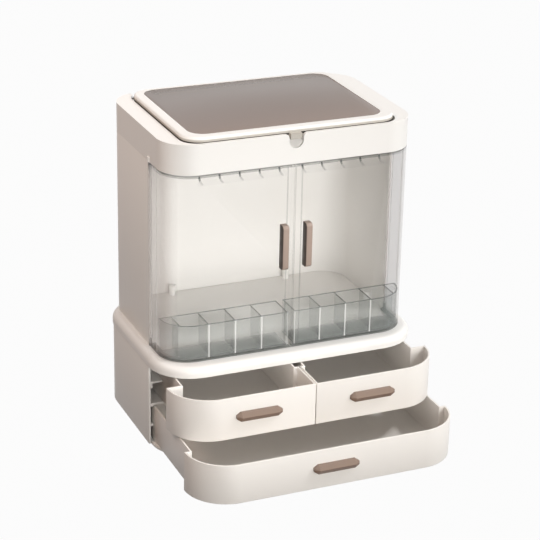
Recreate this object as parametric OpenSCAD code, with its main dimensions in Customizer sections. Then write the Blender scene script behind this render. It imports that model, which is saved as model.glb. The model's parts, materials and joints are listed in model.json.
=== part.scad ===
// Dustproof makeup organizer: a base with three drawers under a rounded top plate,
// a white cabinet closed by two clear wrap-around doors, and a flip-up lid.
// Millimetres. The front faces -Y and +Z is up. The doors and the lid are shut and
// the drawers pulled out, the upper pair by upper_out and the wide one by lower_out.
// The origin is on the table, in the middle of the floor that all of this covers.

/* [Base] */
// Width of the base across its sides
base_w = 320; // [290:1:360]
// Depth of the base from front to back
base_d = 216; // [205:1:240]
// Plan radius of the base's four corners
base_r = 50; // [44:1:58]
// Height of the seam between the casing and the top plate
seam_z = 100.5; // [98:0.5:120]
// Wall thickness of the white mouldings
wall = 2.5; // [2:0.1:3]
// Gap between the table and the casing, filled by the feet
foot_gap = 2; // [1:0.5:4]
// Setback of the casing's side walls behind the base's front
casing_setback = 50; // [48:1:54]
// Height of the top plate above the seam
plate_h = 12; // [11:0.5:16]
// Radius that rounds the top plate's outer edge
plate_edge_r = 7.5; // [5:0.5:9]
// How far the top plate's lip overhangs the casing
plate_lip = 1; // [0.5:0.1:1.5]
// Radius of a rubber foot
foot_r = 7; // [5:0.5:9]

/* [Cabinet] */
// How far the cabinet's sides stand in from the base's sides
side_step = 11.5; // [9:0.5:16]
// How far the doors stand back from the base's front
front_step = 15.5; // [12:0.5:20]
// How far the cabinet's back stands in from the base's back
rear_step = 1; // [0.5:0.1:2]
// Plan radius of the cabinet's corners
cabinet_r = 36; // [32:1:42]
// Height of the clear doors' opening, from the top plate to the top frame
opening_h = 220.5; // [180:0.5:260]
// Height of the white band above the doors
band_h = 34.5; // [30:0.5:45]
// Distance along the sides that the doors wrap round from the front
door_wrap = 60; // [50:1:75]

/* [Lid] */
// Side rim left beside the lid's opening
lid_side_rim = 21; // [18:0.5:26]
// Front rim left before the lid's opening
lid_front_rim = 3; // [2.5:0.1:4]
// Gap round the lid
lid_gap = 1.6; // [1.2:0.1:2.5]
// Height of the lid's frame
lid_h = 12; // [10:0.5:16]
// How far the lid stands above the rim
lid_proud = 5.5; // [3:0.5:8]
// Width of the lid's frame round its panel
lid_border = 11.5; // [8:0.5:16]
// Thickness of the tinted panel
panel_t = 2; // [1.5:0.1:3]
// Radius of the round notch under the finger tab
notch_r = 8.5; // [7:0.5:11]
// Radius of the lid's hinge pins
lid_pin_r = 2; // [1.5:0.1:2.5]

/* [Doors] */
// Thickness of the clear door
door_t = 2.2; // [1.8:0.1:2.8]
// Running gap round the doors
door_gap = 1; // [0.6:0.1:1.5]
// Radius of the bead that the door pivots in
bead_r = 2; // [1.8:0.1:2.4]
// Radius of the door's pivot pins
door_pin_r = 1.2; // [1:0.1:1.4]
// Height of the door handles
handle_h = 52; // [40:1:70]
// Height of the middle of the handles above the top plate
handle_up = 126.5; // [110:0.5:140]

/* [Racks and hooks] */
// Depth of the lipstick racks from front to back
rack_d = 35; // [28:1:40]
// Height of the lipstick racks
rack_h = 40; // [30:1:60]
// Wall thickness of the racks
rack_t = 1.6; // [1.2:0.1:2]
// Distance between the racks' partitions
rack_pitch = 31.7; // [28:0.1:33]
// Number of hooks on each door
hook_count = 5; // [3:1:5]
// Distance between the hooks
hook_pitch = 23.4; // [20:0.1:24]

/* [Drawers] */
// Thickness of the drawers' walls
drawer_t = 2.2; // [1.8:0.1:2.6]
// Plan radius of the drawers' front corners
drawer_r = 48; // [40:1:50]
// Height of the lower drawer's front
lower_h = 46.8; // [42:0.1:47]
// Distance that the upper drawers stand open
upper_out = 56; // [0:1:80]
// Distance that the lower drawer stands open
lower_out = 112.5; // [0:0.5:120]
// Gap between drawer fronts
front_gap = 1; // [0.8:0.1:1.4]
// Inset of the upper drawers' boxes behind the rounded ends of their fronts
box_inset = 17; // [14:0.1:19]
// Length of the drawer pulls
pull_l = 54; // [40:1:70]
// Height of the drawer pulls
pull_h = 11; // [8:0.5:16]

/* [Hidden] */
$fn = 64;

warm_white = [0.93, 0.91, 0.89];
clear = [0.85, 0.9, 0.92, 0.35];
rose_brown = [0.62, 0.51, 0.46];
taupe = [0.6, 0.55, 0.53];
steel = [0.75, 0.75, 0.76];
grey_rubber = [0.45, 0.45, 0.45];

far = base_w + base_d;  // reaches past the whole object
sink = 1;               // how deep joined bodies of one piece overlap

// Clearances
slide_gap = 0.7;       // between a drawer and the rail or shelf beside it
pin_clearance = 0.05;  // round a turning pin
fit_gap = 0.3;         // round a loose seat

// Base
pull_t = 7;
base_hw = base_w / 2;
base_y0 = (max(lower_out, upper_out) + pull_t - base_d) / 2;
base_y1 = base_y0 + base_d;
base_mid = (base_y0 + base_y1) / 2;
casing_y = base_y0 + casing_setback;
plate_z = seam_z + plate_h;
casing_hw = base_hw - plate_lip;
casing_y1 = base_y1 - plate_lip;
casing_r = base_r - plate_lip;
inner_hw = casing_hw - wall;
inner_y1 = casing_y1 - wall;
inner_r = casing_r - wall;

// Cabinet
cab_hw = base_hw - side_step;
cab_y0 = base_y0 + front_step;
cab_y1 = base_y1 - rear_step;
band_z = plate_z + opening_h;
rim_z = band_z + band_h;
door_y = cab_y0 + door_wrap;
shell_t = 3;
shell_y = door_y + bead_r + 0.5;
hinge_x = cab_hw - door_t / 2;

// Lid
opening_hw = cab_hw - lid_side_rim;
opening_y0 = cab_y0 + lid_front_rim;
opening_r = 20;
recess_t = 2.5;
ledge_w = 8;
ledge_front_w = 6;
ledge_t = 2.7;
lid_top = rim_z + lid_proud;
lid_z = lid_top - lid_h;
ledge_z = lid_z - fit_gap;
lid_hw = opening_hw - lid_gap;
lid_y0 = opening_y0 + lid_gap;
lid_rear_rim = 7.5;
lid_y1 = cab_y1 - lid_rear_rim;
lid_r = 22;
lid_edge_r = 2.5;
lid_wall = 2.5;
lid_skin = 3;                // what is left of the lid under its panel
lid_boss_r = 3.5;
lid_boss_l = 7;
lid_boss_inset = 19;
lid_boss_x = lid_hw - lid_boss_inset;  // inner end of the hinge bosses
lid_boss_cap = 1;            // closed inner end of a boss
lid_axis_y = lid_y1 - lid_boss_r;
lid_axis_z = lid_z + lid_boss_r;
lid_pin_play = 1;
lid_pin_end = opening_hw - lid_pin_play;
lid_slot_inset = 5.5;
lid_slot_hw = opening_hw - lid_slot_inset;  // of the slot that the lid's back swings through
lid_slot_d = 10;
panel_hw = lid_hw - lid_border;
panel_y0 = lid_y0 + lid_border;
panel_rear_border = 5;
panel_y1 = lid_y1 - panel_rear_border;
panel_r = 18;
panel_fit = 0.1;
panel_sunk = 0.3;
tab_w = 13.5;
tab_h = 6.3;
tab_inset = 0.5;
tab_root = 4;
notch_drop = 8.2;
notch_z = rim_z - notch_drop;
notch_flare = 4.5;

// Doors
door_z0 = plate_z + door_gap;
door_z1 = band_z - door_gap;
door_in = cab_y0 + door_t;
door_lip = 5;
door_stile = 8;
seam_half = 0.6;
knuckle_r = 3;
knuckle_h = 6;
pin_in_bead = 9;
handle_w = 7.5;
handle_d = 11;
handle_x = 14;
handle_z = plate_z + handle_up;
handle_chamfer = 3;
handle_soft = 0.8;

// Racks and hooks
rack_z = door_z0 + door_t + fit_gap;
rack_end = 4;
rack_cells = 4;
strip_h = 10;
strip_end = 6;
strip_t = 1.5;
strip_gap = 0.5;
strip_over = 1;  // how far a strip may reach past the flat of its door
hook_first = 13.8;
hook_reach = 11;
hook_w = 3;
hook_t = 2;
hook_lift = 7;
hook_z = door_z1 - door_t - strip_h - strip_gap;
// hooks that find room on the flat of a door
hooks_fit = min(hook_count,
                1 + floor((cab_hw - cabinet_r + strip_over - hook_first - strip_end) / hook_pitch));

// Drawers
front_hw = casing_hw;
lower_z0 = foot_gap - 0.2;
lower_z1 = lower_z0 + lower_h;
upper_z0 = lower_z1 + front_gap;
upper_z1 = seam_z - front_gap;
bottom_t = 2.5;
bottom_z1 = foot_gap + bottom_t;
shelf_t = 2.2;
shelf_gap = 2.2;
shelf_z0 = lower_z1 + shelf_gap;
shelf_z1 = shelf_z0 + shelf_t;
wrap_y = casing_y - front_gap;
inside_y = casing_y;
guide_w = 3.3;
lower_box_hw = inner_hw - guide_w - slide_gap;
upper_box_x = front_hw - box_inset;
divider_hw = 4.2;
divider_web = 2.8;
inner_box_x = divider_hw + slide_gap;
drawer_room = 7;  // left behind the drawers' boxes
drawer_back = inner_y1 - drawer_room;
bay_overlap = 10;
floor_gap = 0.4;
box_back_r = 40;
rail_up = 25;
rail_z = shelf_z1 + rail_up;
rail_t = 2;
rail_web = 6;
guide_z = 24;
plate_rib_h = 4;
plate_rib_pitch = 50;
plate_rib_room = 3.2;  // between the middle rib and the heads of the side screws
rib_t = 2;
pull_rise = 1.5;
pull_shift = 11;
pull_tip = 5;
pull_end_h = 4;
pull_ridge_h = 0.8;
pull_foot_t = 3.5;

// Screws that hold the cabinet to the top plate
screw_r = 1.3;
screw_head_r = 2.8;
screw_head_t = 2;
head_gap = 0.02;
screw_l = 10;
boss_r = 4;
boss_h = 12;
boss_web = 2;
boss_room = 3;  // between a screw's post and the wall beside it
boss_inset = shell_t + boss_r + boss_room;
// each screw's place, and the direction of the wall beside it
screw_places = [
    [boss_inset - cab_hw, base_mid, 180], [cab_hw - boss_inset, base_mid, 0],
    [-cab_hw / 2, cab_y1 - boss_inset, 90], [cab_hw / 2, cab_y1 - boss_inset, 90]
];
// the plate's middle rib runs just in front of the side screws
plate_rib_y = base_mid - screw_head_r - plate_rib_room - rib_t;
foot_inset_x = 55;
foot_inset_y = 40;
foot_places = [for (x = [foot_inset_x, base_w - foot_inset_x],
                    y = [foot_inset_y, base_d - foot_inset_y]) [x - base_hw, base_y0 + y]];

// ---------------------------------------------------------------- helpers

// Plan outline: a rectangle from y0 to y1 with front corners rf and back corners rb
module outline(hw, y0, y1, rf, rb) {
    translate([-hw, y0 + rf]) square([2 * hw, y1 - rb - y0 - rf]);
    translate([-(hw - rf), y0]) square([2 * (hw - rf), y1 - rb - y0]);
    translate([-(hw - rb), y0 + rf]) square([2 * (hw - rb), y1 - rf - y0]);
    for (s = [-1, 1]) {
        translate([s * (hw - rf), y0 + rf]) circle(r = rf);
        translate([s * (hw - rb), y1 - rb]) circle(r = rb);
    }
}

module slab(hw, y0, y1, rf, rb, z0, z1) {
    translate([0, 0, z0]) linear_extrude(z1 - z0) outline(hw, y0, y1, rf, rb);
}

// Everything between two heights and two y planes
module zone(y0, y1, z0, z1, x0 = -far, x1 = far) {
    translate([x0, y0, z0]) cube([x1 - x0, y1 - y0, z1 - z0]);
}

// Upper half of a disc
module half_disc(r) {
    intersection() {
        circle(r = r);
        translate([-r, 0]) square([2 * r, r]);
    }
}

// Section of a slab whose two top edges are rounded
module soft_section(half, h, er) {
    translate([-half, 0]) square([2 * half, h - er]);
    translate([-(half - er), 0]) square([2 * (half - er), h]);
    for (s = [-1, 1]) translate([s * (half - er), h - er]) half_disc(er);
}

// Slab with equal plan corners r and a top edge rounded by er
module soft_slab(hw, y0, y1, r, z0, h, er) {
    translate([0, 0, z0]) {
        translate([-(hw - r), (y0 + y1) / 2, 0])
            rotate([90, 0, 90]) linear_extrude(2 * (hw - r))
                soft_section((y1 - y0) / 2, h, er);
        translate([0, y1 - r, 0])
            rotate([90, 0, 0]) linear_extrude(y1 - y0 - 2 * r) soft_section(hw, h, er);
        for (x = [-(hw - r), hw - r], y = [y0 + r, y1 - r])
            translate([x, y, 0]) rotate_extrude() {
                square([r, h - er]);
                square([r - er, h]);
                translate([r - er, h - er]) half_disc(er);
            }
    }
}

// Left pieces are drawn as they are and right ones as their mirror image
module on_side(side) {
    if (side == "left") children();
    else mirror([1, 0, 0]) children();
}

// Rectangle round the origin with its corners cut off, a along x and b along y
module cut_corners(w, h, a, b) {
    polygon([[-w / 2, b - h / 2], [a - w / 2, -h / 2], [w / 2 - a, -h / 2],
             [w / 2, b - h / 2], [w / 2, h / 2 - b], [w / 2 - a, h / 2],
             [a - w / 2, h / 2], [-w / 2, h / 2 - b]]);
}

// Pull with two long facets that meet in a ridge, its flat back on the XZ plane
module faceted_pull() {
    hull() {
        rotate([90, 0, 0]) linear_extrude(pull_foot_t)
            cut_corners(pull_l, pull_h, pull_tip, (pull_h - pull_end_h) / 2);
        translate([pull_h / 2 - pull_l / 2, -pull_t, -pull_ridge_h / 2])
            cube([pull_l - pull_h, pull_t, pull_ridge_h]);
    }
}

// ---------------------------------------------------------------- base

module base_casing() color(warm_white) {
    difference() {
        slab(casing_hw, base_y0, casing_y1, casing_r, casing_r, foot_gap, seam_z);
        slab(inner_hw, base_y0 + wall, inner_y1, inner_r, inner_r, foot_gap - 1, seam_z + 1);
        zone(base_y0 - 1, casing_y, 0, seam_z + 1);
    }
    for (s = [-1, 1]) {
        rib_w = guide_w + sink;
        rib_x = s > 0 ? inner_hw + sink - rib_w : -inner_hw - sink;
        // ledge that carries the shelf, and below it a rib that guides the lower drawer
        for (z = [shelf_z0 - rib_t, guide_z])
            zone(inside_y, base_y1 - base_r, z, z + rib_t, rib_x, rib_x + rib_w);
    }
}

module bottom_plate() color(warm_white)
    difference() {
        union() {
            intersection() {
                slab(inner_hw, base_y0 + wall, inner_y1, inner_r, inner_r, foot_gap, bottom_z1);
                zone(inside_y + sink, base_y1, 0, bottom_z1 + 1);
            }
            intersection() {
                slab(front_hw - drawer_t - slide_gap, base_y0 + drawer_t + front_gap, base_y1,
                     drawer_r - drawer_t - slide_gap, drawer_r, foot_gap, bottom_z1);
                zone(base_y0, inside_y + 2 * sink, 0, bottom_z1 + 1);
            }
        }
        for (p = foot_places)
            translate([p[0], p[1], foot_gap - 1]) cylinder(r = foot_r + 0.1, h = 2);
    }

module rubber_feet() color(grey_rubber)
    for (p = foot_places)
        translate([p[0], p[1], 0]) rotate_extrude() {
            square([foot_r - 0.8, foot_gap + 1]);
            translate([0, 0.8]) square([foot_r, foot_gap + 0.2]);
            translate([foot_r - 0.8, 0.8]) circle(r = 0.8);
        }

module middle_shelf() color(warm_white)
    intersection() {
        slab(inner_hw, base_y0 + wall, inner_y1, inner_r, inner_r, shelf_z0, shelf_z1);
        zone(inside_y, base_y1, shelf_z0 - 1, shelf_z1 + 1);
    }

module centre_divider() color(warm_white) {
    zone(inside_y, inner_y1, shelf_z1, seam_z, -divider_web / 2, divider_web / 2);
    zone(inside_y, inner_y1, shelf_z1, shelf_z1 + rib_t, -divider_hw, divider_hw);
    zone(inside_y, inner_y1, rail_z, rail_z + rail_t, -divider_hw, divider_hw);
    zone(inside_y, inner_y1, seam_z - rib_t, seam_z, -divider_hw, divider_hw);
}

module guide_rail(side) color(warm_white) on_side(side)
    intersection() {
        slab(inner_hw, base_y0 + wall, inner_y1, inner_r, inner_r,
             rail_z - rail_web, rail_z + rail_t);
        union() {
            zone(inside_y, base_y1, rail_z - rail_web, rail_z + rail_t,
                 -inner_hw, -inner_hw + rail_t);
            zone(inside_y, base_y1 - base_r / 2, rail_z, rail_z + rail_t,
                 -inner_hw, -upper_box_x - slide_gap);
        }
    }

module base_top_plate() color(warm_white) {
    top_t = wall;
    difference() {
        union() {
            soft_slab(base_hw, base_y0, base_y1, base_r, seam_z, plate_h, plate_edge_r);
            slab(cab_hw, cab_y0, cab_y1, cabinet_r, cabinet_r, seam_z, plate_z);
        }
        difference() {
            soft_slab(inner_hw, base_y0 + wall, inner_y1, inner_r, seam_z - 1,
                      plate_h + 1 - top_t, plate_edge_r - wall);
            // web and ribs that stiffen the plate, and the blocks that hold the pivots
            zone(base_y0, base_y1, seam_z, plate_z, -divider_web / 2, divider_web / 2);
            for (i = [-1 : 1])
                zone(plate_rib_y + i * plate_rib_pitch, plate_rib_y + i * plate_rib_pitch + rib_t,
                     plate_z - wall - plate_rib_h, plate_z);
            for (s = [-1, 1])
                zone(door_y - knuckle_r, door_y + knuckle_r, plate_z - wall - knuckle_h, plate_z,
                     s > 0 ? hinge_x - knuckle_r : -base_hw, s > 0 ? base_hw : knuckle_r - hinge_x);
        }
        for (s = [-1, 1])
            translate([s * hinge_x, door_y, plate_z - knuckle_h])
                cylinder(r = door_pin_r + pin_clearance, h = 2 * knuckle_h);
        for (p = screw_places)
            translate([p[0], p[1], plate_z - 2 * wall]) cylinder(r = screw_r + 0.2, h = 3 * wall);
    }
}

// ---------------------------------------------------------------- cabinet

module cabinet_shell() color(warm_white) {
    difference() {
        slab(cab_hw, cab_y0, cab_y1, cabinet_r, cabinet_r, plate_z, band_z);
        slab(cab_hw - shell_t, cab_y0 + shell_t, cab_y1 - shell_t, cabinet_r - shell_t,
             cabinet_r - shell_t, plate_z - 1, band_z + 1);
        zone(cab_y0 - 1, shell_y, plate_z - 1, band_z + 1);
    }
    for (p = screw_places)
        difference() {
            translate([p[0], p[1], plate_z]) {
                cylinder(r = boss_r, h = boss_h);
                rotate(p[2]) translate([0, -boss_web / 2, 0])
                    cube([boss_inset - shell_t / 2, boss_web, boss_h]);
            }
            translate([p[0], p[1], plate_z - 1])
                cylinder(r = screw_r + pin_clearance, h = screw_l - 1);
        }
}

module top_frame() color(warm_white)
    difference() {
        union() {
            // outer band
            difference() {
                slab(cab_hw, cab_y0, cab_y1, cabinet_r, cabinet_r, band_z, rim_z);
                slab(cab_hw - shell_t, cab_y0 + shell_t, cab_y1 - shell_t,
                     cabinet_r - shell_t, cabinet_r - shell_t, band_z - 1, rim_z + 1);
            }
            // rim, recess wall and ledge, cut from one block by the opening below
            difference() {
                slab(cab_hw - 1, cab_y0 + 1, cab_y1 - 1, cabinet_r - 1, cabinet_r - 1,
                     ledge_z - ledge_t, rim_z);
                difference() {
                    slab(cab_hw - shell_t, cab_y0 + shell_t, cab_y1 - shell_t,
                         cabinet_r - shell_t, cabinet_r - shell_t,
                         ledge_z - ledge_t - 1, rim_z - recess_t);
                    slab(opening_hw + recess_t, cab_y0, cab_y1 - shell_t + sink,
                         opening_r + recess_t, opening_r + recess_t,
                         ledge_z - ledge_t - 2, rim_z);
                }
                slab(opening_hw, opening_y0, cab_y1 - shell_t, opening_r, opening_r,
                     ledge_z, rim_z + 1);
                slab(opening_hw - ledge_w, opening_y0 + ledge_front_w, lid_axis_y,
                     opening_r - ledge_w, opening_r - ledge_w, ledge_z - ledge_t - 1, rim_z + 1);
                zone(lid_axis_y - lid_slot_d, cab_y1 - shell_t, ledge_z - ledge_t - 1, rim_z,
                     -lid_slot_hw, lid_slot_hw);
            }
            for (s = [-1, 1])
                translate([s * hinge_x, door_y, band_z]) cylinder(r = knuckle_r, h = knuckle_h);
        }
        // round finger notch with flared shoulders
        translate([0, cab_y0 - 1, notch_z]) rotate([-90, 0, 0])
            cylinder(r = notch_r, h = lid_front_rim + ledge_w);
        zone(cab_y0 - 1, cab_y0 + lid_front_rim + ledge_w, notch_z, rim_z + 1, -notch_r, notch_r);
        for (s = [-1, 1]) translate([s * notch_r, cab_y0 - 1, rim_z - notch_flare])
            difference() {
                translate([s > 0 ? -0.1 : -notch_flare, 0, 0])
                    cube([notch_flare + 0.1, lid_front_rim + 2, notch_flare + 1]);
                translate([s * notch_flare, -1, 0]) rotate([-90, 0, 0])
                    cylinder(r = notch_flare, h = lid_front_rim + 4);
            }
        // the rear wall is low, so that the lid can swing over it
        zone(lid_axis_y, cab_y1 + 1, ledge_z - 2, rim_z + 1, -lid_slot_hw, lid_slot_hw);
        // bores of the lid's pins and the doors' pivots
        translate([-opening_hw - recess_t - 1, lid_axis_y, lid_axis_z]) rotate([0, 90, 0])
            cylinder(r = lid_pin_r + pin_clearance, h = 2 * (opening_hw + recess_t + 1));
        for (s = [-1, 1])
            translate([s * hinge_x, door_y, band_z - 1])
                cylinder(r = door_pin_r + pin_clearance, h = knuckle_h);
    }

// ---------------------------------------------------------------- lid

module lid_frame() color(warm_white)
    difference() {
        union() {
            difference() {
                soft_slab(lid_hw, lid_y0, lid_y1, lid_r, lid_z, lid_h, lid_edge_r);
                slab(lid_hw - lid_wall, lid_y0 + lid_wall, lid_y1 - lid_wall, lid_r - lid_wall,
                     lid_r - lid_wall, lid_z - 1, lid_top - panel_t - lid_skin);
            }
            // bosses of the hinge pins
            for (s = [-1, 1])
                translate([s > 0 ? lid_boss_x : -lid_boss_x - lid_boss_l, lid_axis_y, lid_axis_z])
                    rotate([0, 90, 0]) cylinder(r = lid_boss_r, h = lid_boss_l);
            // finger tab
            zone(cab_y0 + tab_inset, lid_y0 + tab_root, lid_z, lid_z + tab_h,
                 -tab_w / 2, tab_w / 2);
            zone(lid_y0 - sink, lid_y0 + tab_root, lid_z, lid_top - tab_root,
                 -tab_w / 2, tab_w / 2);
        }
        slab(panel_hw + panel_fit, panel_y0 - panel_fit, panel_y1 + panel_fit,
             panel_r + panel_fit, panel_r + panel_fit, lid_top - panel_t, lid_top + 1);
        for (s = [-1, 1])
            translate([s > 0 ? lid_boss_x + lid_boss_cap : -lid_hw, lid_axis_y, lid_axis_z])
                rotate([0, 90, 0]) cylinder(r = lid_pin_r, h = lid_boss_inset - lid_boss_cap);
    }

module lid_panel() color(taupe)
    slab(panel_hw, panel_y0, panel_y1, panel_r, panel_r,
         lid_top - panel_t, lid_top - panel_sunk);

module lid_hinge_pins() color(steel)
    for (s = [-1, 1])
        translate([s > 0 ? lid_boss_x + lid_boss_cap : -lid_pin_end, lid_axis_y, lid_axis_z])
            rotate([0, 90, 0])
                cylinder(r = lid_pin_r, h = lid_pin_end - lid_boss_x - lid_boss_cap);

// ---------------------------------------------------------------- doors

module door_half_plan(inset) {
    intersection() {
        outline(cab_hw - inset, cab_y0 + inset, cab_y1, cabinet_r - inset, cabinet_r);
        translate([-far, -far]) square([far - seam_half, far + door_y]);
    }
}

module door(side) color(clear) on_side(side)
    difference() {
        union() {
            // curved pane with a lip along its top and bottom
            difference() {
                translate([0, 0, door_z0]) linear_extrude(door_z1 - door_z0) door_half_plan(0);
                difference() {
                    translate([0, 0, door_z0 - 1]) linear_extrude(door_z1 - door_z0 + 2)
                        door_half_plan(door_t);
                    for (z = [door_z0, door_z1 - door_t])
                        difference() {
                            translate([0, 0, z]) linear_extrude(door_t) door_half_plan(0.5);
                            translate([0, 0, z - 1]) linear_extrude(door_t + 2)
                                door_half_plan(door_t + door_lip);
                        }
                    // stile along the meeting edge
                    zone(cab_y0 + 0.5, cab_y0 + door_stile, door_z0, door_z1,
                         -seam_half - door_t, -seam_half);
                }
            }
            translate([-hinge_x, door_y, door_z0]) cylinder(r = bead_r, h = door_z1 - door_z0);
        }
        for (z = [door_z0 - 1, door_z1 - pin_in_bead])
            translate([-hinge_x, door_y, z]) cylinder(r = door_pin_r, h = pin_in_bead + 1);
    }

module door_pivots(side) color(steel) on_side(side) {
    reach = door_gap + knuckle_h - 2;
    translate([-hinge_x, door_y, door_z0 - reach])
        cylinder(r = door_pin_r, h = reach + pin_in_bead - 1);
    translate([-hinge_x, door_y, door_z1 - pin_in_bead])
        cylinder(r = door_pin_r, h = reach + pin_in_bead);
}

// Upright bar with chamfered ends, whose half behind the door's face is cut away
module door_handle(side) color(rose_brown) on_side(side)
    translate([-handle_x, cab_y0, handle_z]) intersection() {
        rotate([90, 0, 90]) linear_extrude(handle_w, center = true)
            cut_corners(2 * handle_d, handle_h, handle_chamfer, handle_chamfer);
        linear_extrude(handle_h, center = true)
            cut_corners(handle_w, 2 * handle_d, handle_soft, handle_soft);
        zone(-handle_d, 0, -handle_h, handle_h);
    }

// ---------------------------------------------------------------- racks and hooks

// Plan of the rack: it follows the inside of the door round the corner
module rack_plan(inset) {
    intersection() {
        outline(cab_hw - door_t - inset, door_in + inset, cab_y1,
                cabinet_r - door_t - inset, cabinet_r);
        translate([-far, -far])
            square([far - rack_end - inset, far + door_in + rack_d - inset]);
    }
}

module lipstick_rack(side) color(clear) on_side(side)
    difference() {
        translate([0, 0, rack_z]) linear_extrude(rack_h) rack_plan(0);
        for (i = [0 : rack_cells])
            intersection() {
                translate([0, 0, rack_z + rack_t]) linear_extrude(rack_h) rack_plan(rack_t);
                x1 = -rack_end - rack_t - i * (rack_pitch);
                x0 = i == rack_cells ? -cab_hw : x1 - rack_pitch + rack_t;
                zone(cab_y0, cab_y1, rack_z, rack_z + 2 * rack_h, x0, x1);
            }
    }

module hook_strip(side) color(clear) on_side(side) {
    strip_y = door_in;
    x_last = -hook_first - (hooks_fit - 1) * hook_pitch;
    zone(strip_y, strip_y + strip_t, hook_z, hook_z + strip_h,
         x_last - strip_end, strip_end - hook_first);
    for (i = [0 : hooks_fit - 1]) {
        x = -hook_first - i * hook_pitch;
        zone(strip_y + strip_t / 2, strip_y + strip_t + hook_reach, hook_z, hook_z + hook_t,
             x - hook_w / 2, x + hook_w / 2);
        zone(strip_y + strip_t + hook_reach - hook_t, strip_y + strip_t + hook_reach, hook_z,
             hook_z + hook_lift, x - hook_w / 2, x + hook_w / 2);
    }
}

// ---------------------------------------------------------------- drawers

// Rounded end of a drawer's front, from its face back to wrap_y
module front_plan(inset, x_stop) {
    intersection() {
        outline(front_hw - inset, base_y0 + inset, base_y1, drawer_r - inset, drawer_r);
        translate([-far, -far]) square([far + x_stop, far + wrap_y - inset]);
    }
}

// Plan of the front's wall alone, without the bay's back wall
module skirt_plan(x_stop) {
    difference() {
        front_plan(0, x_stop);
        outline(front_hw - drawer_t, base_y0 + drawer_t, base_y1, drawer_r - drawer_t, drawer_r);
    }
}

module drawer_upper(side) color(warm_white) on_side(side)
    translate([0, -upper_out, 0]) {
        floor_z = shelf_z1 + floor_gap;
        // the front reaches down past the floor and hides the shelf's edge
        translate([0, 0, upper_z0]) linear_extrude(floor_z - upper_z0 + sink)
            skirt_plan(-front_gap / 2);
        difference() {
            translate([0, 0, floor_z]) linear_extrude(upper_z1 - floor_z)
                upper_box_plan(0);
            translate([0, 0, floor_z + drawer_t]) linear_extrude(upper_z1)
                upper_box_plan(drawer_t);
        }
    }

// Plan of an upper drawer: its wide front bay and the narrower box behind it
module upper_box_plan(inset) {
    front_plan(inset, -front_gap / 2 - inset);
    intersection() {
        outline(upper_box_x - inset, wrap_y - bay_overlap, drawer_back - inset, 1,
                box_back_r - inset);
        translate([-far, -far]) square([far - inner_box_x - inset, 2 * far]);
    }
}

module lower_box_plan(inset) {
    front_plan(inset, far);
    outline(lower_box_hw - inset, wrap_y - bay_overlap, drawer_back - inset, 1,
            box_back_r - inset);
}

module drawer_lower() color(warm_white)
    translate([0, -lower_out, 0]) {
        floor_z = bottom_z1 + floor_gap;
        translate([0, 0, lower_z0]) linear_extrude(floor_z - lower_z0 + sink) skirt_plan(far);
        difference() {
            translate([0, 0, floor_z]) linear_extrude(lower_z1 - floor_z) lower_box_plan(0);
            translate([0, 0, floor_z + drawer_t]) linear_extrude(lower_z1)
                lower_box_plan(drawer_t);
        }
    }

module pull_upper(side) color(rose_brown) on_side(side)
    translate([-front_hw / 2 + pull_shift, base_y0 - upper_out,
               (upper_z0 + upper_z1) / 2 + pull_rise])
        faceted_pull();

module pull_lower() color(rose_brown)
    translate([0, base_y0 - lower_out, (lower_z0 + lower_z1) / 2 + pull_rise])
        faceted_pull();

module assembly_screws() color(steel)
    for (p = screw_places) {
        translate([p[0], p[1], plate_z - wall - screw_head_t - head_gap])
            cylinder(r = screw_head_r, h = screw_head_t);
        translate([p[0], p[1], plate_z - wall - screw_head_t])
            cylinder(r = screw_r, h = screw_l);
    }

// ---------------------------------------------------------------- nodes

base_casing();
bottom_plate();
rubber_feet();
middle_shelf();
centre_divider();
guide_rail("left");  // guide_rail_left
guide_rail("right");  // guide_rail_right
base_top_plate();
cabinet_shell();
top_frame();
lid_frame();
lid_panel();
lid_hinge_pins();
door("left");  // door_left
door("right");  // door_right
door_pivots("left");  // door_pivots_left
door_pivots("right");  // door_pivots_right
door_handle("left");  // door_handle_left
door_handle("right");  // door_handle_right
lipstick_rack("left");  // lipstick_rack_left
lipstick_rack("right");  // lipstick_rack_right
hook_strip("left");  // hook_strip_left
hook_strip("right");  // hook_strip_right
drawer_upper("left");  // drawer_upper_left
drawer_upper("right");  // drawer_upper_right
drawer_lower();
pull_upper("left");  // pull_upper_left
pull_upper("right");  // pull_upper_right
pull_lower();
assembly_screws();
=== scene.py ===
"""The looks of a dustproof makeup organizer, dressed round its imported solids.

Lengths are metres. The front faces -Y, +Z is up, and the drawers stand pulled out.
"""
import json
import math

import bmesh
import bpy
from mathutils import Matrix, Vector


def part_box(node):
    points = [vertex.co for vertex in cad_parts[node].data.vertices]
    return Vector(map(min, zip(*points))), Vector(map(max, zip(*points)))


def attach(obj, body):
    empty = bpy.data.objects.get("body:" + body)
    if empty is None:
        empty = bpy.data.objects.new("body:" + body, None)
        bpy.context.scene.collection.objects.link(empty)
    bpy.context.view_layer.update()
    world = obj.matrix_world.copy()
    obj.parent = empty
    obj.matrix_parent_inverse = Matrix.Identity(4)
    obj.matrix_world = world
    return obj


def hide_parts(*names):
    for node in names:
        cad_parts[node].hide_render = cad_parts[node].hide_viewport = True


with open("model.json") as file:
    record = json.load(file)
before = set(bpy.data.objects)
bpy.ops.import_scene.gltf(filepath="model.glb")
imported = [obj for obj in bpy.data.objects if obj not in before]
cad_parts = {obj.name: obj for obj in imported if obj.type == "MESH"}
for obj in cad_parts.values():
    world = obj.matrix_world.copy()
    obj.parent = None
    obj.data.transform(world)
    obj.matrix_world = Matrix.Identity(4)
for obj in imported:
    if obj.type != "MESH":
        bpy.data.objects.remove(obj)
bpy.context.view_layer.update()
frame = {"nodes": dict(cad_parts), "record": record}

MM = 0.001

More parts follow.
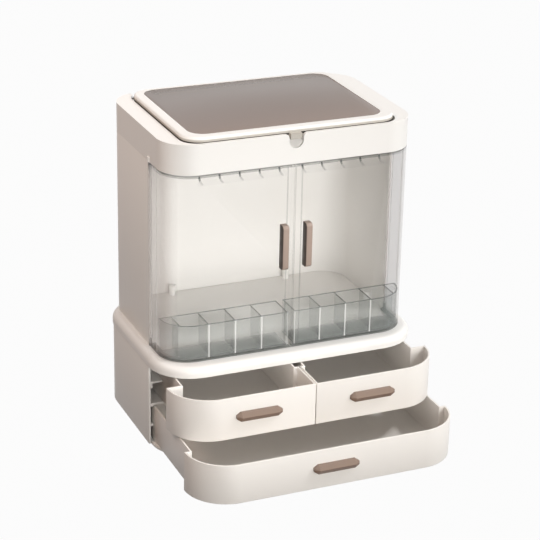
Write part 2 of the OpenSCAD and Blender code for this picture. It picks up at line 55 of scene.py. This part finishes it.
# The camera, in millimetres about the middle of the base's footprint; its roll is in radians
CAMERA_PLACE = Vector((-777.5, -1829.6, 998.1))
CAMERA_TARGET = Vector((15.3, 8.35, 166.1))
CAMERA_ROLL = 0.0213
CAMERA_LENS = 123.3
SENSOR_WIDTH = 36.0

# Plain names of the colours, as linear values
WARM_WHITE = (0.90, 0.886, 0.862)
WARM_WHITE_DEEP = (0.88, 0.865, 0.838)
DRAWER_WHITE = (0.88, 0.85, 0.81)
DRAWER_WHITE_DEEP = (0.865, 0.83, 0.79)
# painted shade in the gap round the lid, a dark line on the lid's side
LID_GAP_PAINTED_SHADE = (0.035, 0.03, 0.025)
# painted shade on the lid's standing side
LID_SIDE_PAINTED_SHADE = (0.52, 0.49, 0.44)
CLEAR_TINT = (0.86, 0.89, 0.88)
CLEAR_SLANT = (0.50, 0.53, 0.52)
RACK_TINT = (0.34, 0.38, 0.365)
CLEAR_CURVE = (0.50, 0.41, 0.39)
CLEAR_FLOOR = (0.36, 0.38, 0.37)
CUT_EDGE = (0.10, 0.12, 0.115)
# painted highlight, as bright lines on the clear pieces
PAINTED_HIGHLIGHT_WHITE = (0.97, 0.97, 0.97)
ROSE_BROWN = (0.41, 0.32, 0.27)
ROSE_BROWN_DEEP = (0.36, 0.275, 0.23)
# painted shade on the flanks of the door handles
ROSE_BROWN_PAINTED_SHADE = (0.07, 0.048, 0.04)
PULL_BROWN = (0.285, 0.205, 0.16)
PULL_BROWN_DEEP = (0.25, 0.18, 0.14)
# painted shade on the lower facets of the drawer pulls
PULL_BROWN_PAINTED_SHADE = (0.19, 0.12, 0.085)
TAUPE = (0.17, 0.131, 0.111)
TAUPE_LIGHT = (0.26, 0.207, 0.18)
STEEL = (0.62, 0.62, 0.63)
RUBBER = (0.13, 0.13, 0.13)
RUBBER_LIGHT = (0.16, 0.16, 0.16)

PLAIN_WHITE = (1.0, 1.0, 1.0)
WHITE_ROUGHNESS = 0.33

# Light of the studio: its walls, its floor and its lamps
STUDIO_FILL = (0.56, 0.56, 0.555)
LEFT_WALL = (0.12, 0.06, 0.03)
FLOOR_BOUNCE = (0.06, 0.048, 0.04)
FLOOR_HALF = 6.0
FLOOR_PLAIN = 0.97           # how much of the floor that is seen is plain white
KEY_TRAVEL = (-2.24, 1.0, -2.8)
KEY_ENERGY = 1.35
KEY_SPREAD_DEG = 8
FRONT_FILL = (1.0, 0.98, 0.95)
FRONT_TRAVEL = (0.0, 1.0, -0.1)
FRONT_ENERGY = 2.45
FRONT_SPREAD_DEG = 40
LEFT_LAMP = (1.0, 0.75, 0.62)
LEFT_LAMP_PLACE = Vector((-0.70, 0.1, 0.95))
LEFT_LAMP_TARGET = Vector((-0.15, 0.05, 0.36))
LEFT_LAMP_SIZE = 0.3
LEFT_LAMP_ENERGY = 2.1
DOOR_SPOT_OFFSET = Vector((-0.55, -1.45, 0.15))
DOOR_SPOT_ENERGY = 12.0
DOOR_SPOT_CONE_DEG = 13
DOOR_SPOT_BLEND = 0.6
DOOR_SPOT_RADIUS = 0.1

# Sizes of the real pieces that the finishes and the painted shade round the lid follow
LID_GAP_SHADE_DROP = 6.4 * MM    # from the lid's top down to the painted shade of the gap below it
LID_GAP_SHADE_HALF = 1.2 * MM
LID_GAP_SHADE_DEPTH = 0.6 * MM
LID_SHADE_DROP = 1.9 * MM    # from the lid's top down to where the painted shade on its side begins
LID_SHADE_FADE = 1.6 * MM
LID_FRONT_INSET = 4.6 * MM   # from the cabinet's front back to the lid's
TAB_HALF = 7.2 * MM
LID_RADIUS = 22 * MM
LID_ROUND = 2.5 * MM
CABINET_RADIUS = 36 * MM
DOOR_WALL = 2.2 * MM
DOOR_STILE = 8.6 * MM
RACK_WALL = 1.6 * MM
RACK_PITCH = 31.7 * MM
HOOK_COUNT = 5
STRIP_END = 6 * MM
STRIP_WALL = 1.5 * MM
HOOK_WIRE = 1.1 * MM
HOOK_LIFT = 7 * MM
HANDLE_OFFSET = 14 * MM
HANDLE_HALF = 3.75 * MM
HANDLE_FLANK = 0.25 * MM

# Widths of the lines, tints and painted highlights on the clear pieces; a half reaches to both
# sides of its place
CUT_RIM = 0.5 * MM
WALL_LINE_HALF = 0.35 * MM
STILE_LINE_HALF = 0.25 * MM
SEAM_LINE_HALF = 0.9 * MM
SEAM_LINE_DEPTH = 0.6 * MM
CURVE_START = 16 * MM        # from the door's outer side in to where its tint begins
CURVE_FADE = 12 * MM
BEND_HIGHLIGHT_HALF = 1.1 * MM
BEND_HIGHLIGHT_REACH = 1.0 * MM        # from the door's outer side in to where the painted highlight ends
BACK_HIGHLIGHT_INSET = 1.4 * MM
BACK_HIGHLIGHT_HALF = 1.0 * MM
BACK_HIGHLIGHT_REACH = 4.0 * MM
RACK_RIM = 0.3 * MM
RACK_SEAM_HIGHLIGHT_HALF = 0.8 * MM
RACK_SEAM_HIGHLIGHT_DEPTH = 0.4 * MM
SKIN = 0.1 * MM              # what a mask takes in beyond a wall's face
HOOK_TIP = 2.6 * MM

# How the solids are finished: the rounds along their sharp edges, and which face of a clear
# wall is left out
WALL_BACK = Vector((0.4, 0.9, 0.0))
MERGE_DISTANCE = 0.001 * MM
SHARP_ANGLE = math.radians(35)
SHORTEST_EDGE = 1.0 * MM
FLAT_ANGLE = math.radians(0.5)
SOFT_EDGES = {
    "base_casing": 0.5 * MM, "cabinet_shell": 0.5 * MM,
    "drawer_upper_left": 0.5 * MM, "drawer_upper_right": 0.5 * MM, "drawer_lower": 0.5 * MM,
    "door_handle_left": 0.5 * MM, "door_handle_right": 0.5 * MM,
    "lid_panel": 0.15 * MM,
}


def new_object(name, data):
    """An object with this data, in the scene."""
    made = bpy.data.objects.new(name, data)
    bpy.context.scene.collection.objects.link(made)
    return made


# ------------------------------------------------------------------ node graphs

class Wire:
    """A number on a node's output, which takes Python's operators; each adds a Math node."""

    def __init__(self, graph, socket):
        self.graph = graph
        self.socket = socket

    def __add__(self, other):
        return self.graph.math("ADD", self, other)

    def __sub__(self, other):
        return self.graph.math("SUBTRACT", self, other)

    def __rsub__(self, other):
        return self.graph.math("SUBTRACT", other, self)

    def __mul__(self, other):
        return self.graph.math("MULTIPLY", self, other)

    def __truediv__(self, other):
        return self.graph.math("DIVIDE", self, other)

    def __pow__(self, other):
        return self.graph.math("POWER", self, other)

    def __abs__(self):
        return self.graph.math("ABSOLUTE", self, 0.0)

    def above(self, limit):
        return self.graph.math("GREATER_THAN", self, limit)

    def below(self, limit):
        return self.graph.math("LESS_THAN", self, limit)

    def near(self, place, reach):
        return abs(self - place).below(reach)

    def at_least(self, other):
        return self.graph.math("MAXIMUM", self, other)

    def clamped(self):
        return self.graph.math("ADD", self, 0.0, use_clamp=True)


class Graph:
    """A node tree that is written as expressions."""

    def __init__(self, tree):
        self.tree = tree

    def node(self, kind, settings=None, sockets=None):
        """Adds a node of a kind, first its settings, then the values or links of its sockets."""
        made = self.tree.nodes.new(kind)
        for name, value in (settings or {}).items():
            setattr(made, name, value)
        for name, value in (sockets or {}).items():
            self.fill(self.input_of(made, name), value)
        return made

    def input_of(self, made, name):
        found = [s for s in made.inputs if s.identifier == name]
        return found[0] if found else made.inputs[name]

    def fill(self, socket, value):
        if isinstance(value, Wire):
            value = value.socket
        if isinstance(value, bpy.types.NodeSocket):
            self.tree.links.new(value, socket)
        else:
            socket.default_value = value

    def math(self, operation, a, b, use_clamp=False):
        made = self.node("ShaderNodeMath", {"operation": operation, "use_clamp": use_clamp})
        self.fill(made.inputs[0], a)
        self.fill(made.inputs[1], b)
        return Wire(self, made.outputs[0])

    def mix_colour(self, factor, a, b):
        made = self.node(
            "ShaderNodeMix",
            {"data_type": "RGBA"},
            {"Factor_Float": factor, "A_Color": rgba(a), "B_Color": rgba(b)},
        )
        return [s for s in made.outputs if s.identifier == "Result_Color"][0]

    def noise(self, vector, scale, detail=2.0):
        made = self.node(
            "ShaderNodeTexNoise",
            sockets={"Vector": vector, "Scale": scale, "Detail": detail, "Roughness": 0.5},
        )
        return Wire(self, made.outputs[0])

    def object_coords(self):
        return self.node("ShaderNodeTexCoord").outputs["Object"]

    def separate(self, vector):
        made = self.node("ShaderNodeSeparateXYZ", sockets={"Vector": vector})
        return [Wire(self, s) for s in made.outputs]

    def bumped(self, height, distance, strength=1.0):
        sockets = {"Height": height, "Distance": distance, "Strength": strength}
        return self.node("ShaderNodeBump", sockets=sockets).outputs["Normal"]


def rgba(colour):
    """A three-part colour with its alpha, or a link as it is."""
    return (*colour, 1.0) if isinstance(colour, tuple) and len(colour) == 3 else colour


def new_material(name):
    """An empty material and its graph."""
    material = bpy.data.materials.new(name)
    material.use_nodes = True
    graph = Graph(material.node_tree)
    material.node_tree.nodes.clear()
    return material, graph


def finish_material(graph, shader_sockets):
    """Puts a Principled shader with these sockets on the material's output."""
    shader = graph.node("ShaderNodeBsdfPrincipled", sockets=shader_sockets)
    graph.node("ShaderNodeOutputMaterial", sockets={"Surface": shader.outputs[0]})


# ------------------------------------------------------------------ finishes

def white_plastic(name, light=WARM_WHITE, deep=WARM_WHITE_DEEP, shades=()):
    """Satin moulded plastic: a faint cloudiness and a fine mould texture.

    shades lists painted shade: functions of the graph and its coordinates, each with the colour
    of the shade it paints.
    """
    material, graph = new_material(name)
    coords = graph.object_coords()
    cloud = graph.noise(coords, 9.0, detail=3.0)
    grain = graph.noise(coords, 2600.0, detail=1.0)
    colour = graph.mix_colour(cloud, light, deep)
    for mask, shade in shades:
        colour = graph.mix_colour(mask(graph, coords), colour, shade)
    finish_material(graph, {
        "Base Color": colour,
        "Roughness": cloud * 0.06 + WHITE_ROUGHNESS,
        "Specular IOR Level": 0.3,
        "Normal": graph.bumped(grain, 0.000012, 0.5),
    })
    return material


def outline_distance(graph, coords, low, high, radius):
    """How far a point lies outside a plan rectangle with round corners, negative inside it."""
    x, y, _ = graph.separate(coords)
    middle = (low + high) / 2
    half = (high - low) / 2
    past_x = (abs(x - middle.x) - (half.x - radius)).at_least(0.0)
    past_y = (abs(y - middle.y) - (half.y - radius)).at_least(0.0)
    return (past_x * past_x + past_y * past_y) ** 0.5 - radius


def lid_outline(graph, coords):
    """Distance outside the lid's outline, without its finger tab."""
    low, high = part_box("lid_frame")
    low = Vector((low.x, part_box("top_frame")[0].y + LID_FRONT_INSET, low.z))
    return outline_distance(graph, coords, low, high, LID_RADIUS)


def lid_side_painted_shade(graph, coords):
    """Painted shade: the lid's standing side, darkened towards the gap round the lid."""
    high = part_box("lid_frame")[1]
    _, _, z = graph.separate(coords)
    down = ((high.z - LID_SHADE_DROP - z) / LID_SHADE_FADE).clamped()
    return down * lid_outline(graph, coords).above(-LID_ROUND)


def lid_gap_painted_shade(graph, coords):
    """Painted shade: a dark line on the lid's side just below the rim, where the gap round the
    lid lies in shade.
    """
    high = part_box("lid_frame")[1]
    x, _, z = graph.separate(coords)
    line = z.near(high.z - LID_GAP_SHADE_DROP, LID_GAP_SHADE_HALF) * abs(x).above(TAB_HALF)
    return line * lid_outline(graph, coords).above(-LID_GAP_SHADE_DEPTH)


def slanting(graph):
    """How far a surface turns away, which thickens the tint of clear plastic."""
    facing = graph.node("ShaderNodeLayerWeight", sockets={"Blend": 0.3}).outputs["Facing"]
    return (Wire(graph, facing) ** 3.0).clamped()


def finish_clear(graph, coords, tint, alpha):
    cloud = graph.noise(coords, 30.0)
    finish_material(graph, {
        "Base Color": tint,
        "Roughness": cloud * 0.03 + 0.04,
        "Alpha": alpha.clamped(),
        "Specular IOR Level": 0.6,
    })


def door_plastic(name):
    """Clear door: thin dark cut edges, painted highlights as bright lines at its bends and near
    its back edge, and a tint in its curves.
    """
    material, graph = new_material(name)
    coords = graph.object_coords()
    x, y, z = graph.separate(coords)
    low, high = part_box("door_left")
    slant = slanting(graph)
    half_width = -low.x
    curve = ((abs(x) + (CURVE_START - half_width)) / CURVE_FADE).clamped()
    line = z.above(high.z - CUT_RIM).at_least(z.near(high.z - DOOR_WALL, WALL_LINE_HALF))
    line = line.at_least(z.below(low.z + CUT_RIM))
    line = line.at_least(z.near(low.z + DOOR_WALL, WALL_LINE_HALF))
    seam = abs(x).below(SEAM_LINE_HALF) * y.below(low.y + SEAM_LINE_DEPTH)
    line = line.at_least(seam).at_least(abs(x).near(DOOR_STILE, STILE_LINE_HALF))
    # painted highlights: bright lines along the door's bend and near its back edge
    bend = y.near(low.y + CABINET_RADIUS, BEND_HIGHLIGHT_HALF) * abs(x).above(half_width - BEND_HIGHLIGHT_REACH)
    back = (y.near(high.y - BACK_HIGHLIGHT_INSET, BACK_HIGHLIGHT_HALF)
            * abs(x).above(half_width - BACK_HIGHLIGHT_REACH))
    painted_highlight = bend.at_least(back)
    tint = graph.mix_colour(slant, CLEAR_TINT, CLEAR_SLANT)
    tint = graph.mix_colour(curve, tint, CLEAR_CURVE)
    tint = graph.mix_colour(painted_highlight, tint, PAINTED_HIGHLIGHT_WHITE)
    tint = graph.mix_colour(line, tint, CUT_EDGE)
    alpha = slant * 0.15 + 0.01 + curve * 0.24 + painted_highlight * 0.35 + line * 0.4
    finish_clear(graph, coords, tint, alpha)
    return material


def rack_plastic(name):
    """Clear rack: dark rims, painted highlights as bright seams where its partitions meet the
    front, a tinted floor.
    """
    material, graph = new_material(name)
    coords = graph.object_coords()
    x, y, z = graph.separate(coords)
    low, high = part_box("lipstick_rack_left")
    slant = slanting(graph)
    rim = z.above(high.z - RACK_RIM)
    floor = z.below(low.z + RACK_WALL + SKIN)
    # the partitions stand a pitch apart, counted from the wall beside the doors' joint
    along = (abs(x) + high.x) / RACK_PITCH
    place = graph.math("FRACT", along + 0.5, 0.0) - 0.5
    # painted highlight where each partition meets the rack's front wall
    seam = abs(place).below(RACK_SEAM_HIGHLIGHT_HALF / RACK_PITCH) * y.below(low.y + RACK_SEAM_HIGHLIGHT_DEPTH)
    tint = graph.mix_colour(slant, RACK_TINT, CLEAR_SLANT)
    tint = graph.mix_colour(floor, tint, CLEAR_FLOOR)
    tint = graph.mix_colour(seam, tint, PAINTED_HIGHLIGHT_WHITE)
    tint = graph.mix_colour(rim, tint, CUT_EDGE)
    alpha = slant * 0.2 + 0.23 + floor * 0.16 + seam * 0.3 + rim * 0.6
    finish_clear(graph, coords, tint, alpha)
    return material


def hook_plastic(name):
    """Clear hooks with dark tips on an almost invisible strip."""
    material, graph = new_material(name)
    coords = graph.object_coords()
    _, y, _ = graph.separate(coords)
    low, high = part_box("hook_strip_left")
    slant = slanting(graph)
    strip = y.below(low.y + STRIP_WALL + SKIN / 2)
    tip = y.above(high.y - HOOK_TIP)
    tint = graph.mix_colour(slant, CLEAR_TINT, CLEAR_SLANT)
    tint = graph.mix_colour(tip, tint, CUT_EDGE)
    alpha = (slant * 0.35 + 0.12 + tip * 0.45) * (1 - strip * 0.85)
    finish_clear(graph, coords, tint, alpha)
    return material


def rose_brown_plastic(name, light, deep, side, painted_shade_colour):
    """Satin rose brown trim with a soft mottling; side is a mask of its faces that get painted
    shade, in the last colour.
    """
    material, graph = new_material(name)
    coords = graph.object_coords()
    cloud = graph.noise(coords, 60.0, detail=3.0)
    grain = graph.noise(coords, 2200.0)
    colour = graph.mix_colour(cloud, light, deep)
    # painted shade on the faces that side marks
    colour = graph.mix_colour(side(graph, coords), colour, painted_shade_colour)
    finish_material(graph, {
        "Base Color": colour,
        "Roughness": cloud * 0.08 + 0.36,
        "Specular IOR Level": 0.35,
        "Normal": graph.bumped(grain, 0.00002, 0.5),
    })
    return material


def handle_flanks_painted_shade(graph, coords):
    """Painted shade on the two long flanks of a door handle."""
    x, _, _ = graph.separate(coords)
    return abs(abs(x) - HANDLE_OFFSET).above(HANDLE_HALF - HANDLE_FLANK)


def pull_lower_painted_shade(graph, coords):
    """Painted shade on the facets below the middle ridge of each drawer pull."""
    _, _, z = graph.separate(coords)
    facets = None
    for node in ("pull_upper_left", "pull_lower"):
        low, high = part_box(node)
        below = z.near((low.z * 3 + high.z) / 4, (high.z - low.z) / 4)
        facets = below if facets is None else facets.at_least(below)
    return facets


def taupe_panel(name):
    """Glossy taupe sheet, a little lighter towards the front."""
    material, graph = new_material(name)
    coords = graph.object_coords()
    _, y, _ = graph.separate(coords)
    low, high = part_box("lid_panel")
    drift = ((high.y - y) / (high.y - low.y)).clamped() ** 2.0
    cloud = graph.noise(coords, 5.0)
    finish_material(graph, {
        "Base Color": graph.mix_colour(drift, TAUPE, TAUPE_LIGHT),
        "Roughness": cloud * 0.05 + 0.22,
        "Specular IOR Level": 0.3,
    })
    return material


def turned_steel(name):
    material, graph = new_material(name)
    coords = graph.object_coords()
    rings = graph.noise(coords, 900.0)
    finish_material(graph, {
        "Base Color": rgba(STEEL),
        "Metallic": 1.0,
        "Roughness": rings * 0.1 + 0.25,
    })
    return material


def matt_rubber(name):
    material, graph = new_material(name)
    coords = graph.object_coords()
    grain = graph.noise(coords, 1800.0, detail=3.0)
    finish_material(graph, {
        "Base Color": graph.mix_colour(grain, RUBBER, RUBBER_LIGHT),
        "Roughness": grain * 0.1 + 0.75,
        "Normal": graph.bumped(grain, 0.00005),
    })
    return material


def finish_table():
    """Each node's finish: first by the start of its name, otherwise by its slot."""
    by_name = {
        "door_handle": rose_brown_plastic("handle_brown", ROSE_BROWN, ROSE_BROWN_DEEP,
                                          handle_flanks_painted_shade, ROSE_BROWN_PAINTED_SHADE),
        "door_pivots": turned_steel("pivot_steel"),
        "door": door_plastic("clear_door"),
        "lipstick_rack": rack_plastic("clear_rack"),
        "hook_strip": hook_plastic("clear_hooks"),
        # painted shade on the lid's standing side and in the gap round it
        "lid_frame": white_plastic("lid_white", shades=[(lid_side_painted_shade, LID_SIDE_PAINTED_SHADE),
                                                        (lid_gap_painted_shade, LID_GAP_PAINTED_SHADE)]),
        "drawer": white_plastic("drawer_white", DRAWER_WHITE, DRAWER_WHITE_DEEP),
    }
    by_slot = {
        "white_shell": white_plastic("white_shell"),
        "rose_brown_trim": rose_brown_plastic("pull_brown", PULL_BROWN, PULL_BROWN_DEEP,
                                              pull_lower_painted_shade, PULL_BROWN_PAINTED_SHADE),
        "taupe_panel": taupe_panel("taupe_panel"),
        "steel_pin": turned_steel("steel_pin"),
        "rubber_foot": matt_rubber("rubber_foot"),
    }
    table = {}
    for part in frame["record"]["subparts"]:
        named = [finish for start, finish in by_name.items() if part["node"].startswith(start)]
        table[part["node"]] = named[0] if named else by_slot[part["material_slot"]]
    return table


FINISHES = finish_table()


def dress_frame():
    """Gives each carried-over solid its finish."""
    for node, finish in FINISHES.items():
        solid = frame["nodes"][node]
        for place in range(len(solid.material_slots)):
            solid.material_slots[place].material = finish


# ------------------------------------------------------------------ pieces

def body_of(node):
    """The moving body that carries a node."""
    for body, nodes in frame["record"]["behaviour"]["bodies"].items():
        if node in nodes:
            return body
    return "root"


def add_piece(name, mesh, node, finish):
    """A finished piece that stands for a node and moves with the node's body."""
    piece = new_object(name, mesh)
    mesh.materials.clear()
    mesh.materials.append(finish)
    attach(piece, body_of(node))
    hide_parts(node)


def baked(source):
    """The mesh of an object with its modifiers applied; the object itself is removed."""
    seen = source.evaluated_get(bpy.context.evaluated_depsgraph_get())
    mesh = bpy.data.meshes.new_from_object(seen)
    bpy.data.objects.remove(source)
    return mesh


def copy_of(node):
    """A copy of a solid's mesh, where the solid stands."""
    solid = frame["nodes"][node]
    mesh = solid.data.copy()
    mesh.transform(solid.matrix_world)
    return mesh


def merged(mesh):
    """The mesh as a form to edit, with its doubled points merged."""
    form = bmesh.new()
    form.from_mesh(mesh)
    bmesh.ops.remove_doubles(form, verts=form.verts, dist=MERGE_DISTANCE)
    return form


def one_sided(node):
    """Stands for a clear piece with one face of each wall, so that light passes fewer layers."""
    mesh = copy_of(node)
    form = merged(mesh)
    second = [face for face in form.faces if face.normal.dot(WALL_BACK) > 0.05]
    bmesh.ops.delete(form, geom=second, context="FACES")
    form.to_mesh(mesh)
    form.free()
    add_piece(node + "_finished", mesh, node, FINISHES[node])


def softened(node, width):
    """Stands for a solid with the same form and a small round along its long sharp edges."""
    mesh = copy_of(node)
    mesh.shade_flat()
    form = merged(mesh)
    bmesh.ops.dissolve_limit(form, angle_limit=FLAT_ANGLE, verts=form.verts,
                             edges=form.edges)
    weight = form.edges.layers.float.new("bevel_weight_edge")
    for edge in form.edges:
        sharp = len(edge.link_faces) == 2 and edge.calc_face_angle(0.0) > SHARP_ANGLE
        if sharp and edge.calc_length() > SHORTEST_EDGE:
            edge[weight] = 1.0
    form.to_mesh(mesh)
    form.free()
    source = new_object(node + "_source", mesh)
    rounding = source.modifiers.new("rounding", "BEVEL")
    rounding.limit_method = "WEIGHT"
    rounding.width = width
    rounding.segments = 2
    rounding.use_clamp_overlap = False
    finished = baked(source)
    finished.polygons.foreach_set("use_smooth", [True] * len(finished.polygons))
    finished.set_sharp_from_angle(angle=SHARP_ANGLE)
    add_piece(node + "_finished", finished, node, FINISHES[node])


def hook_row_tree(finish):
    """Geometry nodes for a strip with a row of hooks: each a bent wire, one pitch apart."""
    tree = bpy.data.node_groups.new("hook_row", "GeometryNodeTree")
    graph = Graph(tree)
    inputs = (("Count", "NodeSocketInt"), ("First", "NodeSocketVector"),
              ("Step", "NodeSocketVector"), ("Reach", "NodeSocketFloat"),
              ("Lift", "NodeSocketFloat"), ("Wire", "NodeSocketFloat"),
              ("Strip Size", "NodeSocketVector"), ("Strip Middle", "NodeSocketVector"))
    for name, kind in inputs:
        tree.interface.new_socket(name, in_out="INPUT", socket_type=kind)
    tree.interface.new_socket("Geometry", in_out="OUTPUT", socket_type="NodeSocketGeometry")
    given = graph.node("NodeGroupInput").outputs
    places = graph.node("GeometryNodeMeshLine", {"mode": "OFFSET"}, {
        "Count": given["Count"], "Start Location": given["First"], "Offset": given["Step"]})
    bend = graph.node("ShaderNodeCombineXYZ", sockets={"Y": given["Reach"]})
    tip = graph.node("ShaderNodeCombineXYZ", sockets={"Y": given["Reach"], "Z": given["Lift"]})
    path = graph.node("GeometryNodeCurveQuadraticBezier", sockets={
        "Resolution": 10, "Start": (0.0, 0.0, 0.0), "Middle": bend.outputs[0],
        "End": tip.outputs[0]})
    section = graph.node("GeometryNodeCurvePrimitiveCircle", sockets={
        "Resolution": 10, "Radius": given["Wire"]})
    wire = graph.node("GeometryNodeCurveToMesh", sockets={
        "Curve": path.outputs[0], "Profile Curve": section.outputs[0], "Fill Caps": True})
    hooks = graph.node("GeometryNodeInstanceOnPoints", sockets={
        "Points": places.outputs[0], "Instance": wire.outputs[0]})
    smooth = graph.node("GeometryNodeSetShadeSmooth", sockets={"Geometry": hooks.outputs[0]})
    plate = graph.node("GeometryNodeMeshCube", sockets={"Size": given["Strip Size"]})
    strip = graph.node("GeometryNodeTransform", sockets={
        "Geometry": plate.outputs[0], "Translation": given["Strip Middle"]})
    joined = graph.node("GeometryNodeJoinGeometry")
    for part in (strip, smooth):
        graph.fill(joined.inputs[0], part.outputs[0])
    real = graph.node("GeometryNodeRealizeInstances", sockets={"Geometry": joined.outputs[0]})
    dressed = graph.node("GeometryNodeSetMaterial", sockets={
        "Geometry": real.outputs[0], "Material": finish})
    graph.node("NodeGroupOutput", sockets={"Geometry": dressed.outputs[0]})
    return tree


def run_tree(name, tree, values):
    """The mesh that a tree makes with these values of its named inputs."""
    source = new_object(name + "_source", bpy.data.meshes.new(name + "_source"))
    modifier = source.modifiers.new("nodes", "NODES")
    modifier.node_group = tree
    for item in tree.interface.items_tree:
        if item.item_type == "SOCKET" and item.name in values:
            modifier[item.identifier] = values[item.name]
    return baked(source)


def add_hooks(side, tree):
    """The hooks of one door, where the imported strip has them."""
    node = "hook_strip_" + side
    low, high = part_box(node)
    first_x, last_x = (high.x - STRIP_END, low.x + STRIP_END)
    depth = high.y - low.y
    mesh = run_tree(node, tree, {
        "Count": HOOK_COUNT,
        "First": (first_x, low.y + STRIP_WALL, low.z + HOOK_WIRE),
        "Step": ((last_x - first_x) / (HOOK_COUNT - 1), 0.0, 0.0),
        "Reach": depth - STRIP_WALL - HOOK_WIRE,
        "Lift": HOOK_LIFT - HOOK_WIRE,
        "Wire": HOOK_WIRE,
        "Strip Size": (high.x - low.x, STRIP_WALL, high.z - low.z),
        "Strip Middle": ((low.x + high.x) / 2, low.y + STRIP_WALL / 2, (low.z + high.z) / 2),
    })
    add_piece(node + "_finished", mesh, node, FINISHES[node])


# ------------------------------------------------------------------ stage

def seen_directly(graph):
    """A mask of the rays that show the background: straight, reflected or refracted."""
    path = graph.node("ShaderNodeLightPath").outputs
    return (Wire(graph, path["Is Camera Ray"]) + Wire(graph, path["Is Glossy Ray"])
            + Wire(graph, path["Is Transmission Ray"])).clamped()


def set_world():
    """Pale studio light; straight rays and reflections see plain white."""
    world = bpy.data.worlds.new("studio")
    bpy.context.scene.world = world
    world.use_nodes = True
    world.node_tree.nodes.clear()
    graph = Graph(world.node_tree)
    seen = seen_directly(graph)
    direction = graph.node("ShaderNodeTexCoord").outputs["Generated"]
    along_x, _, _ = graph.separate(direction)
    # the wall on the left begins at a slant of 0.35 and is in full from 0.75
    from_left = (along_x * -2.5 - 0.875).clamped()
    soft = graph.mix_colour(from_left, STUDIO_FILL, LEFT_WALL)
    colour = graph.mix_colour(seen, soft, PLAIN_WHITE)
    background = graph.node("ShaderNodeBackground", sockets={"Color": colour, "Strength": 1.0})
    graph.node("ShaderNodeOutputWorld", sockets={"Surface": background.outputs[0]})


def add_lamp(name, kind, energy, colour):
    """A lamp of a kind, still at the origin."""
    data = bpy.data.lights.new(name, kind)
    data.energy = energy
    data.color = colour
    return new_object(name, data)


def look_along(lamp, direction):
    lamp.rotation_euler = Vector(direction).to_track_quat("-Z", "Y").to_euler()


def aim(lamp, place, target):
    """Puts a lamp at a place, looking at a target."""
    lamp.location = place
    look_along(lamp, target - place)


def add_lamps():
    """A key from the right and above, a broad front fill, and two small helpers."""
    key = add_lamp("key_sun", "SUN", KEY_ENERGY, PLAIN_WHITE)
    key.data.angle = math.radians(KEY_SPREAD_DEG)
    look_along(key, KEY_TRAVEL)
    fill = add_lamp("front_fill", "SUN", FRONT_ENERGY, FRONT_FILL)
    fill.data.angle = math.radians(FRONT_SPREAD_DEG)
    look_along(fill, FRONT_TRAVEL)
    # warm lamp high on the left, which brightens the cabinet's side more than the base's
    warm = add_lamp("left_lamp", "AREA", LEFT_LAMP_ENERGY, LEFT_LAMP)
    warm.data.size = LEFT_LAMP_SIZE
    middle = base_middle()
    aim(warm, middle + LEFT_LAMP_PLACE, middle + LEFT_LAMP_TARGET)
    # narrow lamp that looks through the doors
    beam = add_lamp("door_spot", "SPOT", DOOR_SPOT_ENERGY, PLAIN_WHITE)
    beam.data.spot_size = math.radians(DOOR_SPOT_CONE_DEG)
    beam.data.spot_blend = DOOR_SPOT_BLEND
    beam.data.shadow_soft_size = DOOR_SPOT_RADIUS
    low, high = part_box("cabinet_shell")
    target = Vector((0.0, (low.y + high.y) / 2, (low.z + high.z) / 2))
    aim(beam, target + DOOR_SPOT_OFFSET, target)


def add_floor():
    """Pale floor that keeps only a light shadow."""
    corners = [(x * FLOOR_HALF, y * FLOOR_HALF, 0)
               for x, y in ((-1, -1), (1, -1), (1, 1), (-1, 1))]
    mesh = bpy.data.meshes.new("floor")
    mesh.from_pydata(corners, [], [(0, 1, 2, 3)])
    floor = new_object("floor", mesh)
    material, graph = new_material("floor")
    seen = seen_directly(graph)
    matt = graph.node("ShaderNodeBsdfDiffuse", sockets={"Color": rgba(FLOOR_BOUNCE)})
    plain = graph.node("ShaderNodeEmission", sockets={
        "Color": rgba(PLAIN_WHITE), "Strength": 1.0})
    mixed = graph.node("ShaderNodeMixShader", sockets={0: seen * FLOOR_PLAIN})
    graph.fill(mixed.inputs[1], matt.outputs[0])
    graph.fill(mixed.inputs[2], plain.outputs[0])
    graph.node("ShaderNodeOutputMaterial", sockets={"Surface": mixed.outputs[0]})
    mesh.materials.append(material)


def base_middle():
    """The middle of the base's footprint, in metres."""
    low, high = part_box("base_top_plate")
    return Vector(((low.x + high.x) / 2, (low.y + high.y) / 2, 0))


def add_camera():
    """The photograph's view, with its small roll."""
    data = bpy.data.cameras.new("camera")
    data.lens = CAMERA_LENS
    data.sensor_width = SENSOR_WIDTH
    data.clip_end = 20.0
    camera = new_object("camera", data)
    back = (CAMERA_PLACE - CAMERA_TARGET).normalized()
    right = Vector((0, 0, 1)).cross(back).normalized()
    up = back.cross(right)
    turned_right = right * math.cos(CAMERA_ROLL) + up * math.sin(CAMERA_ROLL)
    turned_up = up * math.cos(CAMERA_ROLL) - right * math.sin(CAMERA_ROLL)
    turn = Matrix((turned_right, turned_up, back)).transposed().to_4x4()
    camera.matrix_world = Matrix.Translation(CAMERA_PLACE * MM + base_middle()) @ turn
    bpy.context.scene.camera = camera


add_camera()
set_world()
add_lamps()
add_floor()
dress_frame()
for node, width in SOFT_EDGES.items():
    softened(node, width)
for node in ("lipstick_rack_left", "lipstick_rack_right"):
    one_sided(node)
hook_row = hook_row_tree(FINISHES["hook_strip_left"])
for side in ("left", "right"):
    add_hooks(side, hook_row)

bpy.context.scene.view_settings.view_transform = "Standard"
